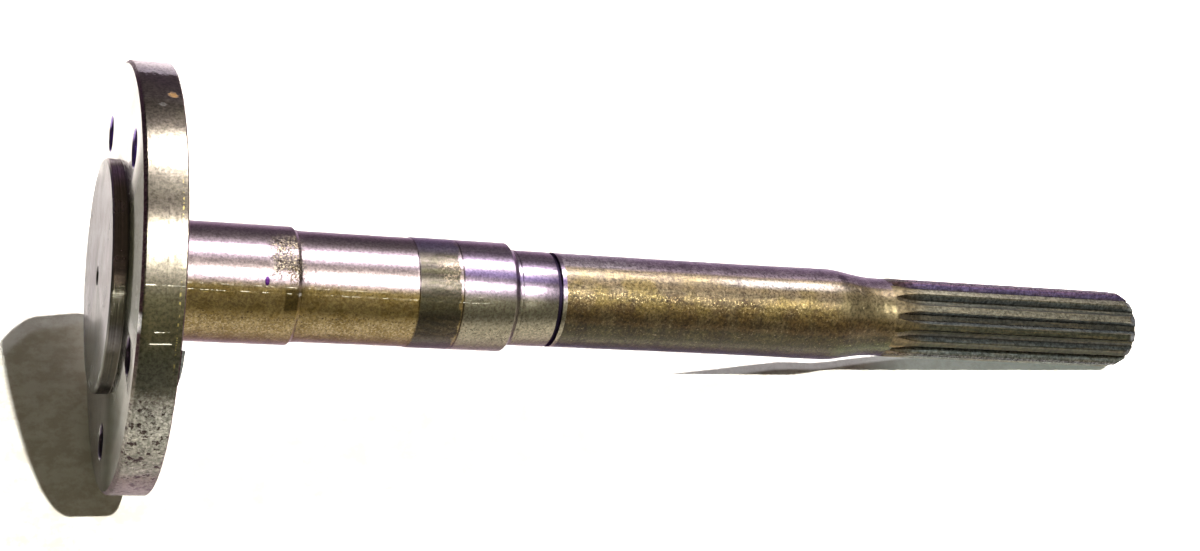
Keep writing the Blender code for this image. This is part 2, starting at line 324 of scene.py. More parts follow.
def splineTool():
    # The section of one space stands upright at the shaft's end, cut into levels whose widths
    # follow the involute; it is then extruded along the shaft and lifted out on the hob's arc
    root, top = spline["rootRadius"], shaft["splineRadius"] + spline["overshoot"]
    steps = spline["flankSteps"]
    levels = [root + (top - root) * step / steps for step in range(steps + 1)]
    outside = (shaft["end"] + spline["overshoot"]) * mm
    clearSelection()
    bpy.ops.mesh.primitive_plane_add(size=1, location=(outside, 0, 0), rotation=(0, math.pi / 2, 0))
    tool = bpy.context.object
    tool.name = "splineTool"
    bpy.ops.object.transform_apply(location=True, rotation=True, scale=True)
    bpy.ops.object.mode_set(mode="EDIT")
    bpy.ops.mesh.select_all(action="SELECT")
    lowest, highest = (level * math.cos(spaceHalfAngle(level)) for level in (levels[0], levels[-1]))
    height = (highest - lowest) * mm
    bpy.ops.transform.resize(value=(1, mm, height), center_override=(outside, 0, 0))
    for step in range(1, steps):
        bpy.ops.mesh.select_all(action="SELECT")
        bpy.ops.mesh.bisect(plane_co=(outside, 0, height * (step / steps - 0.5)), plane_no=(0, 0, 1))
    editMesh = bmesh.from_edit_mesh(tool.data)
    for vert in editMesh.verts:
        level = levels[round((vert.co.z / height + 0.5) * steps)]
        side = 1 if vert.co.y > 0 else -1
        vert.co.y = side * level * math.sin(spaceHalfAngle(level)) * mm
        vert.co.z = level * math.cos(spaceHalfAngle(level)) * mm
    bmesh.update_edit_mesh(tool.data)
    depth = shaft["splineRadius"] - root
    runout = math.sqrt(depth * (2 * spline["hobRadius"] - depth))
    deep = shaft["splineStart"] - spline["runoutLead"] + runout
    stations, lifts = [deep], [0.0]
    for step in range(1, spline["runoutSteps"] + 1):
        back = spline["runoutReach"] * runout * step / spline["runoutSteps"]
        stations.append(deep - back)
        lifts.append(spline["hobRadius"] - math.sqrt(spline["hobRadius"] ** 2 - back ** 2))
    x, z = outside, 0.0
    bpy.ops.mesh.select_all(action="SELECT")
    for station, lift in zip(stations, lifts):
        bpy.ops.mesh.extrude_region_move(
            TRANSFORM_OT_translate={"value": (station * mm - x, 0, lift * mm - z)})
        x, z = station * mm, lift * mm
    closeMesh(tool)
    copyAround(tool, spline["teeth"])
    roll(tool, math.pi)
    return tool


burr = {
    "start": math.radians(61.5),
    "arc": math.radians(10.5),
    "height": 1.3,
    "thickness": 1.5,
    "rootDepth": 1.5,
    "inset": 0.25,
    "waviness": 0.08,
    "waves": 40,
    "fade": 0.5,
    "steps": 18,
}


def burrPiece():
    # Dragged metal on the rim's back edge: a section swept round the rim, abrupt at its start,
    # then fading to nothing
    outside = shaft["flangeRadius"] - burr["inset"]
    inside = outside - burr["thickness"]
    clearSelection()
    bpy.ops.mesh.primitive_plane_add(size=mm, location=(0, 0, (inside + outside) / 2 * mm),
                                     rotation=(math.pi / 2, 0, 0))
    piece = bpy.context.object
    piece.name = "rimBurr"
    bpy.ops.object.transform_apply(location=True, rotation=True, scale=True)
    bpy.ops.object.mode_set(mode="EDIT")
    bpy.ops.mesh.select_all(action="SELECT")
    bpy.ops.mesh.spin(steps=burr["steps"], angle=burr["arc"], center=(0, 0, 0), axis=(1, 0, 0))
    editMesh = bmesh.from_edit_mesh(piece.data)
    for vert in editMesh.verts:
        turn = abs(math.atan2(vert.co.y, vert.co.z))
        share = min(1.0, turn / burr["arc"])
        raised, outer = vert.co.x > 0, math.hypot(vert.co.y, vert.co.z) > (inside + outside) / 2 * mm
        wavy = 1 - burr["waviness"] + burr["waviness"] * math.sin(burr["waves"] * share)
        height = burr["height"] * (1 - share ** 3) * wavy - burr["fade"] * share
        radius = outside if outer else inside + (burr["thickness"] / 2 if raised else 0)
        station = height if raised else -burr["rootDepth"]
        vert.co = Vector((station, -radius * math.sin(turn), radius * math.cos(turn))) * mm
    bmesh.update_edit_mesh(piece.data)
    closeMesh(piece)
    roll(piece, burr["start"])
    return piece


def buildShaft():
    piece = turnOutline("axleShaft", softenedOutline(shaftCorners(), shaft["arcSteps"]), shaft["sides"])
    print("turned form:", len(piece.data.polygons), "faces")
    applyBoolean(piece, studHoleTool(), "DIFFERENCE")
    applyBoolean(piece, splineTool(), "DIFFERENCE")
    applyBoolean(piece, burrPiece(), "UNION")
    print("holes and spline cut, burr added:", len(piece.data.polygons), "faces")
    return piece


def layDown(piece):
    # Tilts and moves the finished mesh; its object stays at the origin, unturned and unscaled
    pickOnly(piece)
    piece.rotation_euler = (0, lie["tilt"], 0)
    piece.location = lie["station0"]
    bpy.ops.object.transform_apply(location=True, rotation=True, scale=True)


# Shader maths: a wire is a socket's output, and a sum of wires adds its Math nodes

class Wire:
    def __init__(self, tree, out=None):
        self.tree = tree
        self.out = out

    def node(self, kind, values=None, settings=None, output=0):
        made = self.tree.nodes.new(kind)
        for name, value in (settings or {}).items():
            setattr(made, name, value)
        for name, value in (values or {}).items():
            if isinstance(value, Wire):
                self.tree.links.new(value.out, made.inputs[name])
            else:
                made.inputs[name].default_value = value
        return Wire(self.tree, made.outputs[output])

    def maths(self, operation, first, second=0.0):
        return self.node("ShaderNodeMath", {0: first, 1: second}, {"operation": operation})

    def __add__(self, other):
        return self.maths("ADD", self, other)

    def __radd__(self, other):
        return self.maths("ADD", other, self)

    def __sub__(self, other):
        return self.maths("SUBTRACT", self, other)

    def __rsub__(self, other):
        return self.maths("SUBTRACT", other, self)

    def __mul__(self, other):
        return self.maths("MULTIPLY", self, other)

    def __rmul__(self, other):
        return self.maths("MULTIPLY", other, self)

    def __truediv__(self, other):
        return self.maths("DIVIDE", self, other)


def ramp(wire, low, high, bottom=0.0, top=1.0):
    # Smooth climb from bottom to top while the wire goes from low to high
    values = {"Value": wire, "From Min": low, "From Max": high, "To Min": bottom, "To Max": top}
    return wire.node("ShaderNodeMapRange", values, {"interpolation_type": "SMOOTHSTEP"})


def between(wire, low, high, edge):
    # 1 from low to high, falling to 0 over the edge on both sides
    return ramp(wire, low - edge, low + edge) * ramp(wire, high - edge, high + edge, 1.0, 0.0)


def blendColours(factor, first, second, mode="MIX"):
    # The first colour where the factor is 0 and the second where it is 1
    source = next(item for item in (factor, first, second) if isinstance(item, Wire))
    first = (*first, 1) if isinstance(first, tuple) else first
    second = (*second, 1) if isinstance(second, tuple) else second
    values = {0: factor, 6: first, 7: second}
    settings = {"data_type": "RGBA", "blend_type": mode, "clamp_factor": True}
    return source.node("ShaderNodeMix", values, settings, output=2)


def shadeColours(factor, colour, shade):
    # Multiplies a colour by a shade where the factor is 1
    return blendColours(factor, colour, shade, "MULTIPLY")


def partOf(vector, axis):
    return vector.node("ShaderNodeSeparateXYZ", {0: vector}, output=axis)


oilIndex = 1.9  # above real oil's, so that its thin film shows the slits as bright as they are


class Ground:
    # What every finish on the shaft starts from: its nodes and the shaft's own coordinates, in
    # mm, and in degrees that run from 0 on top through 90 on the side towards the camera
    def __init__(self, name):
        self.material = bpy.data.materials.new(name)
        self.material.use_nodes = True
        self.tree = self.material.node_tree
        self.shader = self.tree.nodes["Principled BSDF"]
        start = Wire(self.tree)
        where = start.node("ShaderNodeTexCoord", output="Object")
        self.local = start.node("ShaderNodeMapping", {
            "Vector": where, "Location": lie["station0"], "Rotation": (0, lie["tilt"], 0)},
            {"vector_type": "TEXTURE"})
        self.station = partOf(self.local, "X") / mm
        side = partOf(self.local, "Y") / -mm
        up = partOf(self.local, "Z") / mm
        self.angle = start.maths("ARCTAN2", side, up) * (180 / math.pi)
        self.radius = start.maths("SQRT", side * side + up * up)

    def noise(self, scale, detail=2.0, rough=0.5, along=1.0, around=1.0):
        # Cells are about 1/scale mm across, longer where along or around is below 1
        where = self.local.node("ShaderNodeMapping", {
            "Vector": self.local, "Scale": (along / mm, around / mm, around / mm)})
        return where.node("ShaderNodeTexNoise", {
            "Vector": where, "Scale": scale, "Detail": detail, "Roughness": rough})

    def marks(self, place, scale, detail):
        # Tool marks: noise that depends on the station or on the radius alone
        return place.node("ShaderNodeTexNoise", {"W": place, "Scale": scale, "Detail": detail},
                          {"noise_dimensions": "1D"})

    def patch(self, station, angle, long, wide, ragged, grain=0.4):
        # A ragged patch, 1 inside and 0 outside; half sizes in mm along and degrees round the shaft
        away = (self.station - station) / long
        turn = (self.angle - angle) / wide
        distance = away.maths("SQRT", away * away + turn * turn)
        distance = distance + (self.noise(grain, 3) - 0.5) * ragged
        return ramp(distance, 0.8, 1.1, 1.0, 0.0)

    def grainy(self, colour, scale, depth):
        # Fine light and dark speckle over a colour
        shade = ramp(self.noise(scale, 4, 0.7), 0.3, 0.7, 1 - depth, 1 + depth)
        return shadeColours(1.0, colour, shade)

    def finish(self, look, colour, roughness, heights, metal, film):
        # heights is a list of wire and depth in mm; metal and film are wires or numbers
        sockets = self.shader.inputs
        wired = {"Base Color": colour, "Roughness": roughness, "Metallic": metal, "Coat Weight": film}
        for name, value in wired.items():
            if isinstance(value, Wire):
                self.tree.links.new(value.out, sockets[name])
            else:
                sockets[name].default_value = value
        sockets["Specular Tint"].default_value = (*look["edgeTint"], 1)
        sockets["Coat Roughness"].default_value = look["filmRoughness"]
        sockets["Coat IOR"].default_value = oilIndex
        normal = None
        for height, depth in heights:
            values = {"Height": height, "Distance": depth * mm, "Strength": 1.0}
            if normal:
                values["Normal"] = normal
            normal = height.node("ShaderNodeBump", values)
        self.tree.links.new(normal.out, sockets["Normal"])
        return self.material


# Journals: ground bright, varnished by old oil up to the ring's seat; lilac-grey above and
# honey-brown lower down, set by angle round the shaft as painted reflection colour

journalLook = {
    # lilac, honey, clean and cleanLow: tones above and below by angle, painted reflection colour
    "lilac": (0.142, 0.114, 0.124),
    "honey": (0.155, 0.114, 0.042),
    "amber": (0.112, 0.078, 0.022),
    "clean": (0.145, 0.117, 0.142),
    "cleanLow": (0.160, 0.148, 0.108),
    # crown: painted shade along the top; the dull band's top, low and light tones are painted by angle
    "crown": (0.84, 0.84, 0.80),
    "dullTop": (0.090, 0.076, 0.110),
    "dullLow": (0.058, 0.058, 0.047),
    "olive": (0.021, 0.019, 0.013),
    "bandLight": (0.050, 0.046, 0.028),
    "tan": (0.170, 0.130, 0.090),
    "stain": (0.030, 0.021, 0.006),
    "crust": (0.300, 0.250, 0.170),
    "dark": (0.012, 0.009, 0.008),
    "droplet": (0.024, 0.006, 0.040),
    # Painted light and shade: multipliers and tones for the bands where the reflections fall
    "lowShade": (0.86, 0.90, 1.20),
    "cleanShade": (0.80, 0.80, 0.80),
    "shoulderShade": (0.68, 0.65, 0.72),
    "saddle": (1.02, 1.02, 0.90),
    "cleanSaddle": (0.62, 0.60, 0.64),
    "warmth": (1.18, 1.18, 1.34),
    "calm": (0.80, 0.80, 0.78),
    "violetFringe": (0.130, 0.096, 0.190),
    "grooveShade": (0.009, 0.006, 0.014),
    "edgeTint": (0.52, 0.43, 0.58),
    "ringSeat": 121.0,
    "dullBand": (102.3, 119.5),
    "pittedBand": (42.5, 54.6),
    "groove": (162.15, 164.2),
    "metal": 0.97,
    "filmRoughness": 0.03,
}


def journalFinish():
    look, g = journalLook, Ground("groundJournal")
    cloud, speck, grain = g.noise(0.13, 4, 0.6), g.noise(1.1, 3, 0.6), g.noise(0.5, 4, 0.65)
    shoulder = ramp(g.angle, 39, 50)
    low = ramp(g.angle, 66, 86)
    # Oil has varnished the steel from the flange to the ring's seat and left the rest clean
    varnish = ramp(g.station, look["ringSeat"] - 1, look["ringSeat"] + 0.5, 1.0, 0.0)
    clean = 1 - varnish
    # Lilac-grey above and honey-brown lower down, by angle: painted reflection colour
    upperTone = blendColours(varnish, look["clean"], look["lilac"])
    lowerTone = blendColours(varnish, look["cleanLow"], look["honey"])
    colour = blendColours(shoulder, upperTone, lowerTone)
    # Painted shade along the top
    colour = shadeColours(ramp(g.angle, 4, -10), colour, look["crown"])
    amber = ramp(cloud, 0.42, 0.62, 0.0, 0.8) * varnish * shoulder
    colour = blendColours(amber, colour, look["amber"])
    # Painted light and dark bands, from the top down, where the reflections fall,
    # with a painted violet fringe beside a highlight on the clean steel
    besideTop = between(g.angle, 1, 5, 2) * 0.5 + between(g.angle, -9, 5, 2) * clean
    colour = shadeColours(besideTop, colour, look["shoulderShade"])
    saddle = blendColours(varnish, look["cleanSaddle"], look["saddle"])
    colour = shadeColours(between(g.angle, 21, 30, 2.5), colour, saddle)
    colour = shadeColours(between(g.angle, 50, 65, 4) * varnish, colour, look["warmth"])
    colour = shadeColours(between(g.angle, 60, 73, 4) * clean, colour, look["calm"])
    colour = blendColours(between(g.angle, 17, 24, 3) * clean * 0.8, colour, look["violetFringe"])
    # Painted shade and reflection tint low down
    lowShade = blendColours(varnish, look["cleanShade"], look["lowShade"])
    colour = shadeColours(low, colour, lowShade)
    colour = blendColours(low * ramp(speck, 0.50, 0.60) * 0.30, colour, look["crust"])
    # The dull band, straight on the side of the bearing seat and ragged on the other: a dark
    # stain whose tone changes by angle in painted lighter and darker bands
    wander = (g.noise(0.25, 3) - 0.5) * 5.0 * ramp(g.station, 108, 116)
    dull = between(g.station + wander, *look["dullBand"], 0.5)
    dullTone = blendColours(ramp(g.angle, 78, 90), look["dullTop"], look["dullLow"])
    dullTone = blendColours(between(g.angle, -6, 98, 8), dullTone, look["olive"])
    paintedBands = between(g.angle, 48, 66, 4) + between(g.angle, 18, 23, 2)
    dullTone = blendColours(paintedBands, dullTone, look["bandLight"])
    streaks = ramp(g.noise(0.5, 4, 0.7, along=0.25), 0.40, 0.60, 0.90, 1.0)
    colour = blendColours(dull * streaks, colour, dullTone)
    # Tan flecks, strongest where a highlight falls: wear with a painted highlight
    flecked = between(g.station, 111, look["ringSeat"], 2.5) * ramp(speck, 0.46, 0.62)
    flecked = flecked * (between(g.angle, 11, 29, 4) * 0.55 + 0.10)
    colour = blendColours(flecked, colour, look["tan"])
    ringEdge = g.station + (speck - 0.5) * 0.5
    ringLine = between(ringEdge, look["ringSeat"] - 0.8, look["ringSeat"] - 0.1, 0.2)
    colour = blendColours(ringLine * 0.85, colour, look["dark"])
    # The pitted band on the seal seat: dark ground, pale flakes and small holes
    band = between(g.station + (g.noise(0.35, 3) - 0.5) * 8.0, *look["pittedBand"], 1.5)
    band = band * between(g.angle + (cloud - 0.5) * 30, -8, 33, 6)
    flakes = ramp(g.noise(1.2, 4, 0.7), 0.50, 0.58)
    colour = blendColours(band * 0.55, colour, look["olive"])
    colour = blendColours(band * flakes * 0.85, colour, look["crust"])
    holes = ramp(g.noise(1.4, 3, 0.6), 0.54, 0.60)
    colour = blendColours(band * holes * 0.9, colour, look["dark"])
    # Below it dark crystals, then a brown stain, pits lower down and one stained drop
    stain = between(g.station, 47.5, 54.4, 0.4) * between(g.angle + (cloud - 0.5) * 12, 46.5, 69, 2)
    crystals = g.patch(50.8, 34.0, 3.6, 10.0, 0.9, 0.6) * ramp(speck, 0.45, 0.55)
    colour = blendColours(stain * 0.72 + crystals * 0.8, colour, look["stain"])
    pits = ramp(g.noise(1.3, 2, 0.5), 0.62, 0.68) * ramp(g.angle, 50, 80, 0.3, 1.0)
    colour = blendColours(pits * 0.8, colour, look["dark"])
    droplet = g.patch(40.1, 40.7, 1.0, 4.6, 0.3)
    colour = blendColours(droplet, colour, look["droplet"])
    colour = g.grainy(colour, 0.9, 0.38)
    # Painted shade: the clip groove painted dark
    groove = between(g.station, *look["groove"], 0.1)
    colour = blendColours(groove, colour, look["grooveShade"])
    roughness = groove * 0.25 + 0.285 + grain * low * 0.08 + ramp(cloud, 0.4, 0.7) * 0.03
    roughness = roughness + band * flakes * 0.2 + crystals * 0.15 + dull * 0.05
    # Two films of oil, broken into dashes: each mirrors one of the long slits
    film = ramp(g.noise(0.45, 4, 0.7), 0.50, 0.56, 0.0, 0.9) * (1 - band) * (1 - dull * 0.9)
    film = film * (between(g.angle, 44, 47.5, 1) + between(g.angle, 50.5, 54, 1)) * (1 - groove)
    heights = [(g.marks(g.station, 8.0, 1), 0.022), (grain * low, 0.02),
               (band * flakes, 0.06), ((pits + band * holes) * -1.0, 0.05)]
    return g.finish(look, colour, roughness, heights, look["metal"], film)


# Shank and neck: turned after forging, its skin gone bronze and rusty brown underneath,
# with painted light and shade in long bands

forgedLook = {
    # top and topNear: a painted lighter top; worn: a painted highlight band
    "top": (0.145, 0.112, 0.132),
    "topNear": (0.180, 0.152, 0.165),
    "worn": (0.098, 0.076, 0.046),
    "bronze": (0.075, 0.056, 0.027),
    "brown": (0.052, 0.035, 0.014),
    "gold": (0.100, 0.074, 0.022),
    # slate: painted shade underneath
    "slate": (0.050, 0.050, 0.028),
    "rust": (0.062, 0.041, 0.016),
    "black": (0.010, 0.008, 0.007),
    "pale": (0.210, 0.170, 0.110),
    # whiteShine and spark: painted shine and glints
    "whiteShine": (0.240, 0.235, 0.240),
    "spark": (0.400, 0.310, 0.140),
    # Painted light and shade in long bands; neckTone is the neck's own tone
    "shade": (0.38, 0.44, 0.34),
    "glowing": (1.32, 1.28, 1.24),
    "shoulderShade": (0.66, 0.66, 0.68),
    "underside": (0.24, 0.28, 0.20),
    "midShade": (0.48, 0.48, 0.50),
    "neckTone": (0.145, 0.118, 0.062),
    "neckLow": (1.35, 1.60, 1.40),
    "edgeTint": (0.40, 0.33, 0.50),
    "neck": (290.0, 298.0),
    "metal": 0.92,
    "film": 0.08,
    "filmRoughness": 0.25,
}


def forgedFinish():
    look, g = forgedLook, Ground("forgedShank")
    cloud, speckle = g.noise(0.10, 4, 0.65), g.noise(1.1, 5, 0.75)
    turned = g.noise(0.5, 3, 0.6, along=0.5, around=0.08)
    # From the top down: a painted lighter top, a painted highlight band, golden and rusty
    # patches, and painted slate shade underneath
    colour = blendColours(ramp(cloud, 0.4, 0.6), look["bronze"], look["brown"])
    top = blendColours(ramp(g.station, 212, 186), look["top"], look["topNear"])
    colour = blendColours(ramp(g.angle, 3, -6), colour, top)
    colour = blendColours(between(g.angle, 0, 29, 5) * 0.8, colour, look["worn"])
    gold = ramp(g.noise(0.06, 3), 0.46, 0.58) * between(g.angle, 6, 56, 10)
    colour = blendColours(gold * ramp(g.station, 300, 240, 0.4, 0.7), colour, look["gold"])
    rust = ramp(g.noise(0.10, 4, 0.65), 0.46, 0.60) * between(g.angle, 46, 74, 9)
    colour = blendColours(rust * ramp(g.station, 185, 215) * 0.6, colour, look["rust"])
    colour = blendColours(ramp(g.angle, 80, 98, 0.0, 0.85), colour, look["slate"])
    # Painted light and dark bands, a painted white shine on the highlight and painted shade underneath
    colour = shadeColours(between(g.angle, 72, 94, 5), colour, look["shade"])
    colour = shadeColours(between(g.angle, 43, 60, 4), colour, look["glowing"])
    shoulder = between(g.angle, 0, 15, 2.5) * ramp(g.station, 285, 265)
    colour = shadeColours(shoulder, colour, look["shoulderShade"])
    colour = shadeColours(between(g.angle, 18.5, 23, 2), colour, look["glowing"])
    colour = shadeColours(ramp(g.angle, 106, 122), colour, look["underside"])
    midShade = between(g.angle, 28, 41, 3) * ramp(g.station, 268, 244)
    colour = shadeColours(midShade * ramp(cloud, 0.38, 0.55, 0.6, 1.0), colour, look["midShade"])
    whiteShine = between(g.angle, 4, 14, 4) * between(g.station, 245, 292, 18)
    colour = blendColours(whiteShine * 0.4, colour, look["whiteShine"])
    # Turning marks and speckle
    colour = blendColours(ramp(turned, 0.5, 0.7, 0.0, 0.35), colour, look["black"])
    colour = blendColours(ramp(speckle, 0.56, 0.68, 0.0, 0.5), colour, look["pale"])
    colour = blendColours(ramp(speckle, 0.46, 0.34, 0.0, 0.9), colour, look["black"])
    # The neck in front of the splines, painted lighter low down, with a dark blotch where it begins
    neck = ramp(g.station, *look["neck"])
    colour = blendColours(neck * between(g.angle, 14, 48, 6) * 0.7, colour, look["neckTone"])
    colour = shadeColours(neck * between(g.angle, 84, 116, 5), colour, look["neckLow"])
    blotch = g.patch(297.2, -6.0, 2.2, 15.0, 0.9) * ramp(speckle, 0.38, 0.60, 1.0, 0.5)
    colour = blendColours(blotch * 0.7, colour, look["black"])
    # Painted golden glints in the lower highlight band
    sparks = ramp(speckle, 0.56, 0.63) * between(g.angle, 32, 50, 5) * ramp(g.station, 300, 285)
    colour = blendColours(sparks * 0.5, colour, look["spark"])
    colour = g.grainy(colour, 0.8, 0.60)
    roughness = ramp(speckle, 0.25, 0.75, 0.28, 0.38) + ramp(cloud, 0.4, 0.7, 0.0, 0.03)
    heights = [(g.marks(g.station, 8.0, 1), 0.035), (g.noise(0.25, 3), 0.04),
               (speckle, 0.02), (turned, 0.02)]
    return g.finish(look, colour, roughness, heights, look["metal"], look["film"])


# Splines: bright worn crests over grooves full of old grease, with painted shade on the lower
# teeth and deep in the grooves

splineLook = {
    "crest": (0.150, 0.140, 0.104),
    # crestLow and crestUnder: painted shade and reflection on the lower teeth
    "crestLow": (0.034, 0.036, 0.024),
    "crestUnder": (0.078, 0.082, 0.074),
    "flank": (0.088, 0.100, 0.098),
    # greaseAndShade: grease, and painted shade in the roots and corners
    "greaseAndShade": (0.036, 0.036, 0.029),
    "brown": (0.080, 0.056, 0.024),
    # Painted light and shade along the teeth
    "skyline": (0.90, 0.60, 1.30),
    "shadeLine": (0.62, 0.64, 0.48),
    "lightLine": (1.42, 1.44, 1.40),
    "edgeTint": (0.13, 0.08, 0.24),
    "crestRadius": (16.9, 17.6),
    "rootRadius": (14.8, 15.8),
    "metal": 0.90,
    "film": 0.10,
    "filmRoughness": 0.2,
}


def splineFinish():
    look, g = splineLook, Ground("greasySpline")
    streak, speckle = g.noise(0.8, 4, 0.65, along=0.08), g.noise(1.2, 4, 0.7)
    crest = ramp(g.radius, *look["crestRadius"])
    # Crests darker on the lower teeth and lighter underneath: painted shade and reflection
    crestColour = blendColours(ramp(g.angle, 40, 56), look["crest"], look["crestLow"])
    crestColour = blendColours(ramp(g.angle, 90, 100), crestColour, look["crestUnder"])
    colour = blendColours(crest, look["flank"], crestColour)
    # Roots darkened: grease and painted shade
    colour = blendColours(ramp(g.radius, *look["rootRadius"], 0.9, 0.0), colour, look["greaseAndShade"])
    colour = blendColours(ramp(streak, 0.45, 0.65, 0.0, 0.4), colour, look["brown"])
    colour = blendColours(ramp(speckle, 0.55, 0.42, 0.0, 0.5), colour, look["greaseAndShade"])
    colour = blendColours(ramp(g.station, 342, 326, 0.0, 0.7), colour, look["brown"])
    # Painted light and shade: lighter and darker strips along each tooth, and a violet top
    colour = shadeColours(ramp(g.angle, -12, -22), colour, look["skyline"])
    shadeLines = between(g.angle, 60, 69, 2) + between(g.angle, 82, 88, 2)
    shadeLines = shadeLines + between(g.angle, 96, 99.5, 1)
    colour = shadeColours(shadeLines, colour, look["shadeLine"])
    lightLines = between(g.angle, 11, 15.5, 1.5) + between(g.angle, 53, 58, 1.5)
    lightLines = lightLines + between(g.angle, 90, 94.5, 1.5) + ramp(g.angle, 100, 104) * 0.7
    colour = shadeColours(lightLines, colour, look["lightLine"])
    colour = g.grainy(colour, 0.7, 0.55)
    roughness = ramp(streak, 0.3, 0.7, 0.28, 0.40) + ramp(speckle, 0.3, 0.7, 0.0, 0.08)
    heights = [(streak, 0.03), (speckle, 0.03)]
    return g.finish(look, colour, roughness, heights, look["metal"], look["film"])


# Flange faces: fine-turned and still bright, with painted shade and reflection on the side towards
# the camera, near the boss and lower down

faceLook = {
    "bright": (0.46, 0.46, 0.45),
    # strip, stripHigh, lit, bossShade and low: painted reflection, light and shade; low also tints the
    # mottle
    "strip": (0.105, 0.112, 0.092),
    "stripHigh": (0.085, 0.082, 0.056),
    "lit": (0.240, 0.245, 0.210),
    "bossShade": (0.030, 0.032, 0.022),
    # The boss's face: darker, and lighter lower down
    "bossFace": (0.078, 0.074, 0.082),
    "bossFaceLow": (0.110, 0.116, 0.100),
    "low": (0.100, 0.108, 0.074),
    # The boss's wall by angle: painted highlight and shade
    "wallTop": (0.310, 0.235, 0.250),
    "wallDim": (0.45, 0.48, 0.42),
    "wallShine": (0.400, 0.390, 0.385),
    "wallLow": (0.230, 0.218, 0.215),
    "wallUnder": (0.032, 0.031, 0.025),
    # greaseAndShade: grease, and painted shade in the corner by the boss
    "greaseAndShade": (0.070, 0.060, 0.045),
    # Painted light and shade in the stud holes
    "boreTop": (0.20, 0.13, 0.40),
    "boreLow": (0.050, 0.032, 0.060),
    "edgeTint": (0.75, 0.73, 0.77),
    "wallGlint": (51.8, 53.2),
    "glare": 0.0,
    "metal": 0.97,
    "filmRoughness": 0.03,
}


def faceFinish():
    look, g = faceLook, Ground("turnedFlange")
    marks, cloud = g.marks(g.radius, 1.6, 3), g.noise(0.07, 4, 0.6)
    # The faces: painted dim reflection on the side towards the camera, a painted pool of light
    # low down, painted shade around the boss
    near = ramp(g.angle, 2, 12) * ramp(g.angle, 140, 120)
    strip = blendColours(ramp(g.angle, 40, 60), look["stripHigh"], look["strip"])
    nearTone = blendColours(ramp(g.angle, 66, 90), strip, look["low"])
    colour = blendColours(near, look["bright"], nearTone)
    lit = between(g.angle, 66, 116, 6) * ramp(g.radius + (cloud - 0.5) * 10, 66, 74)
    colour = blendColours(lit, colour, look["lit"])
    bossShade = ramp(g.radius + (cloud - 0.5) * 8, 62, 47, 0.0, 0.85) * ramp(g.angle, 92, 66, 0.3, 1.0)
    colour = blendColours(near * bossShade, colour, look["bossShade"])
    # The boss's face: darker than the ring face, lighter lower down
    bossFace = blendColours(ramp(g.angle, 60, 100), look["bossFace"], look["bossFaceLow"])
    colour = blendColours(ramp(g.radius, 46.5, 45.6), colour, bossFace)
    colour = blendColours(ramp(cloud, 0.45, 0.65, 0.0, 0.25), colour, look["low"])
    colour = blendColours(ramp(marks, 0.35, 0.7, 0.0, 0.2), colour, look["low"])
    # The boss's round wall: painted highlight and shade bands by angle, and grease along its marks
    wall = between(g.station, -21.4, -16.2, 0.2) * ramp(g.radius, 45.2, 45.7) * ramp(g.radius, 47, 46.4)
    side = blendColours(ramp(g.angle, 46, 52), look["wallTop"], look["wallShine"])
    side = shadeColours(between(g.angle, 40, 51, 2), side, look["wallDim"])
    side = blendColours(ramp(g.angle, 58, 64), side, look["wallLow"])
    side = blendColours(ramp(g.angle, 74, 84), side, look["wallUnder"])
    side = blendColours(ramp(g.marks(g.station, 1.5, 3), 0.4, 0.6, 0.0, 0.5), side, look["greaseAndShade"])
    colour = blendColours(wall, colour, side)
    # The stud holes' walls, painted lit above and shaded below, and painted shade in the corner
    # around the boss
    bore = between(g.station, -15.85, -0.1, 0.1) * between(g.radius, 57, 75, 0.5)
    boreTone = blendColours(ramp(g.angle, 10, 60), look["boreTop"], look["boreLow"])
    colour = blendColours(bore, colour, boreTone)
    cornerShade = between(g.radius, 45.5, 47.5, 0.8) * between(g.station, -17, -10, 1)
    colour = blendColours(cornerShade * 0.6, colour, look["greaseAndShade"])
    # Specks of grease
    specks = ramp(g.noise(0.9, 3), 0.70, 0.74)
    colour = blendColours(specks * 0.8, colour, look["greaseAndShade"])
    colour = g.grainy(colour, 0.8, 0.16)
    roughness = 0.20 + ramp(cloud, 0.4, 0.7, 0.0, 0.08)
    film = wall * between(g.angle, *look["wallGlint"], 0.4) * 0.7
    film = film + (1 - wall) * ramp(g.radius, 44, 45.4, 0.0, 0.2)
    # Grime takes the mirror away beside the boss and, less so, low down
    grime = between(g.angle, 12, 60, 6) * ramp(g.radius, 46.8, 48.5) * 0.84
    grime = grime + near * (1 - lit) * ramp(g.angle, 72, 88) * 0.18
    g.shader.inputs["Specular IOR Level"].default_value = look["glare"]
    heights = [(marks, 0.006), (specks * -1.0, 0.05)]
    return g.finish(look, colour, roughness, heights, look["metal"] - grime, film)


# Rim: turned and handled bright, pitted by damp where it stood on the ground

rimLook = {
    # top, skyline, olive, oliveLow, pale, deep and tan: painted reflection, light and shade by angle
    "top": (0.112, 0.094, 0.084),
    "skyline": (0.90, 0.86, 0.89),
    "steel": (0.160, 0.142, 0.112),
    "olive": (0.072, 0.066, 0.036),
    "pale": (0.350, 0.345, 0.305),
    "deep": (0.165, 0.162, 0.138),
    "tan": (0.132, 0.105, 0.094),
    "grey": (0.100, 0.105, 0.088),
    "pit": (0.020, 0.012, 0.012),
    "edge": (0.066, 0.037, 0.046),
    # Painted shade beside the highlights
    "shoulderShade": (0.52, 0.50, 0.51),
    "oliveLow": (0.088, 0.092, 0.068),
    "burr": (0.28, 0.30, 0.31),
    # gleam: a painted highlight on the front chamfer
    "gleam": (0.85, 0.86, 0.90),
    "rust": (0.105, 0.056, 0.014),
    "fleck": (0.45, 0.44, 0.40),
    # A painted line of golden glints
    "goldGlint": (0.55, 0.44, 0.14),
    "edgeTint": (0.60, 0.54, 0.62),
    "frontChamfer": (-14.7, -15.1),
    "filmRoughness": 0.03,
}


